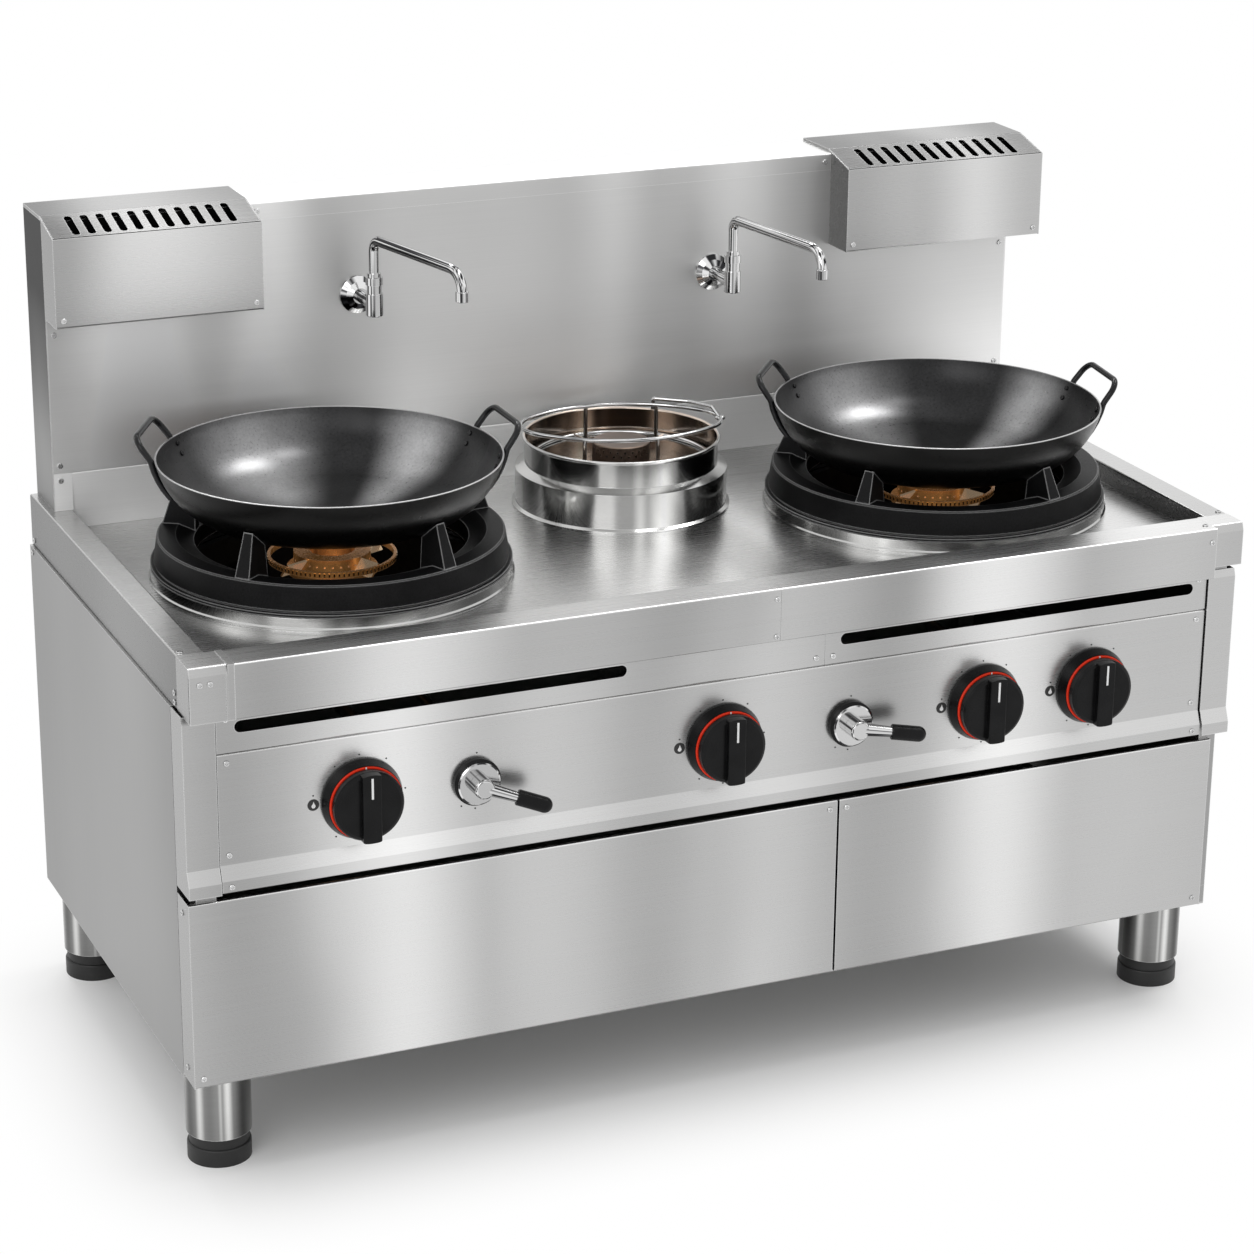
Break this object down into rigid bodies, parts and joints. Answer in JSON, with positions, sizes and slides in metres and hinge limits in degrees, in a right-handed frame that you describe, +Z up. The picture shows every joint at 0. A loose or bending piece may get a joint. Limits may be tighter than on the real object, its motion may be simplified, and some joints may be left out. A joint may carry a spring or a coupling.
{
  "type": "wok range",
  "caption": "Stainless wok range with round wok stations on cast rings, a small centre burner, knobs and lever taps, a tall splash with flue hoods, and adjustable feet.",
  "frame": {"origin": "middle of the bounding box, on the floor", "axes": "+X along the front to the right as the cook sees it, +Y to the back, +Z up"},
  "size_m": [1.712, 0.9166, 1.274],
  "materials": {
    "steel": "brushed stainless steel sheet",
    "frame_steel": "mill finish steel",
    "duct_steel": "mill finish steel",
    "chamber_steel": "heat darkened steel",
    "cast_iron": "sand cast, black",
    "carbon_steel": "seasoned carbon steel",
    "brass": "machined brass",
    "bronze": "dull bronze",
    "wire": "bright steel wire",
    "black_plastic": "satin black",
    "red_plastic": "red ring",
    "chrome": "polished chrome",
    "pipe_steel": "galvanised pipe",
    "screw_steel": "pan heads",
    "foot_rubber": "black rubber"
  },
  "bodies": {
    "root": {"base_frame": "frame_steel", "bottom_pan": "frame_steel", "side_panel_left": "steel", "side_panel_right": "steel", "back_panel": "steel", "worktop": "steel", "rim_rail_left": "steel", "rim_rail_right": "steel", "front_rails": "steel", "corner_caps": "steel", "vent_aprons": "steel", "control_panel": "steel", "corner_posts": "steel", "lower_panel_left": "steel", "lower_panel_right": "steel", "leg_tubes": "steel", "splash_panel": "steel", "splash_strip": "steel", "splash_cover": "steel", "flue_hoods": "steel", "hood_grilles": "steel", "flue_ducts": "duct_steel", "fire_chambers": "chamber_steel", "seat_rings": "steel", "burners": "brass", "centre_base_collar": "steel", "centre_upper_collar": "steel", "centre_burner": "bronze", "control_bezels": "black_plastic", "knob_rings": "red_plastic", "gas_valves": "brass", "lever_flanges": "chrome", "tap_bodies": "chrome", "gas_manifold": "pipe_steel", "burner_pipes": "pipe_steel", "water_pipes": "pipe_steel", "screws": "screw_steel"},
    "ring_left": {"cast_ring_left": "cast_iron"},
    "wok_left": {"wok_left": "carbon_steel", "wok_handles_left": "wire", "wok_rivets_left": "screw_steel"},
    "ring_right": {"cast_ring_right": "cast_iron"},
    "wok_right": {"wok_right": "carbon_steel", "wok_handles_right": "wire", "wok_rivets_right": "screw_steel"},
    "pot_support": {"wire_support": "wire"},
    "knob_1": {"knob_1": "black_plastic"},
    "knob_2": {"knob_2": "black_plastic"},
    "knob_3": {"knob_3": "black_plastic"},
    "knob_4": {"knob_4": "black_plastic"},
    "lever_left": {"lever_left": "chrome", "lever_grip_left": "black_plastic"},
    "lever_right": {"lever_right": "chrome", "lever_grip_right": "black_plastic"},
    "spout_left": {"spout_left": "chrome"},
    "spout_right": {"spout_right": "chrome"},
    "foot_front_left": {"foot_front_left": "foot_rubber"},
    "foot_front_right": {"foot_front_right": "foot_rubber"},
    "foot_back_left": {"foot_back_left": "foot_rubber"},
    "foot_back_right": {"foot_back_right": "foot_rubber"}
  },
  "joints": [
    {"name": "ring_left_lift", "type": "slide", "parent": "root", "child": "ring_left", "axis": [0, 0, 1], "range_m": [0, 0.04]},
    {"name": "wok_left_lift", "type": "slide", "parent": "ring_left", "child": "wok_left", "axis": [0, 0, 1], "range_m": [0, 0.08]},
    {"name": "ring_right_lift", "type": "slide", "parent": "root", "child": "ring_right", "axis": [0, 0, 1], "range_m": [0, 0.04]},
    {"name": "wok_right_lift", "type": "slide", "parent": "ring_right", "child": "wok_right", "axis": [0, 0, 1], "range_m": [0, 0.08]},
    {"name": "pot_support_lift", "type": "slide", "parent": "root", "child": "pot_support", "axis": [0, 0, 1], "range_m": [0, 0.08]},
    {"name": "knob_1_turn", "type": "hinge", "parent": "root", "child": "knob_1", "pos_m": [-0.5925, -0.39419, 0.567], "axis": [0, -1, 0], "range_deg": [-225, 45]},
    {"name": "knob_2_turn", "type": "hinge", "parent": "root", "child": "knob_2", "pos_m": [-0.024, -0.39419, 0.567], "axis": [0, -1, 0], "range_deg": [-225, 45]},
    {"name": "knob_3_turn", "type": "hinge", "parent": "root", "child": "knob_3", "pos_m": [0.414, -0.39419, 0.567], "axis": [0, -1, 0], "range_deg": [-225, 45]},
    {"name": "knob_4_turn", "type": "hinge", "parent": "root", "child": "knob_4", "pos_m": [0.604, -0.39419, 0.567], "axis": [0, -1, 0], "range_deg": [-225, 45]},
    {"name": "lever_left_turn", "type": "hinge", "parent": "root", "child": "lever_left", "pos_m": [-0.418, -0.39419, 0.566], "axis": [0, -1, 0], "range_deg": [-70, 20]},
    {"name": "lever_right_turn", "type": "hinge", "parent": "root", "child": "lever_right", "pos_m": [0.185, -0.39419, 0.566], "axis": [0, -1, 0], "range_deg": [-82, 8]},
    {"name": "spout_left_swivel", "type": "hinge", "parent": "root", "child": "spout_left", "pos_m": [-0.3365, 0.24131, 1.1485], "axis": [0, 0, 1], "range_deg": [-88, 88]},
    {"name": "spout_right_swivel", "type": "hinge", "parent": "root", "child": "spout_right", "pos_m": [0.278, 0.24131, 1.1285], "axis": [0, 0, 1], "range_deg": [-108, 74]},
    {"name": "foot_front_left_extend", "type": "slide", "parent": "root", "child": "foot_front_left", "axis": [0, 0, -1], "range_m": [0, 0.03]},
    {"name": "foot_front_right_extend", "type": "slide", "parent": "root", "child": "foot_front_right", "axis": [0, 0, -1], "range_m": [0, 0.03]},
    {"name": "foot_back_left_extend", "type": "slide", "parent": "root", "child": "foot_back_left", "axis": [0, 0, -1], "range_m": [0, 0.03]},
    {"name": "foot_back_right_extend", "type": "slide", "parent": "root", "child": "foot_back_right", "axis": [0, 0, -1], "range_m": [0, 0.03]}
  ]
}
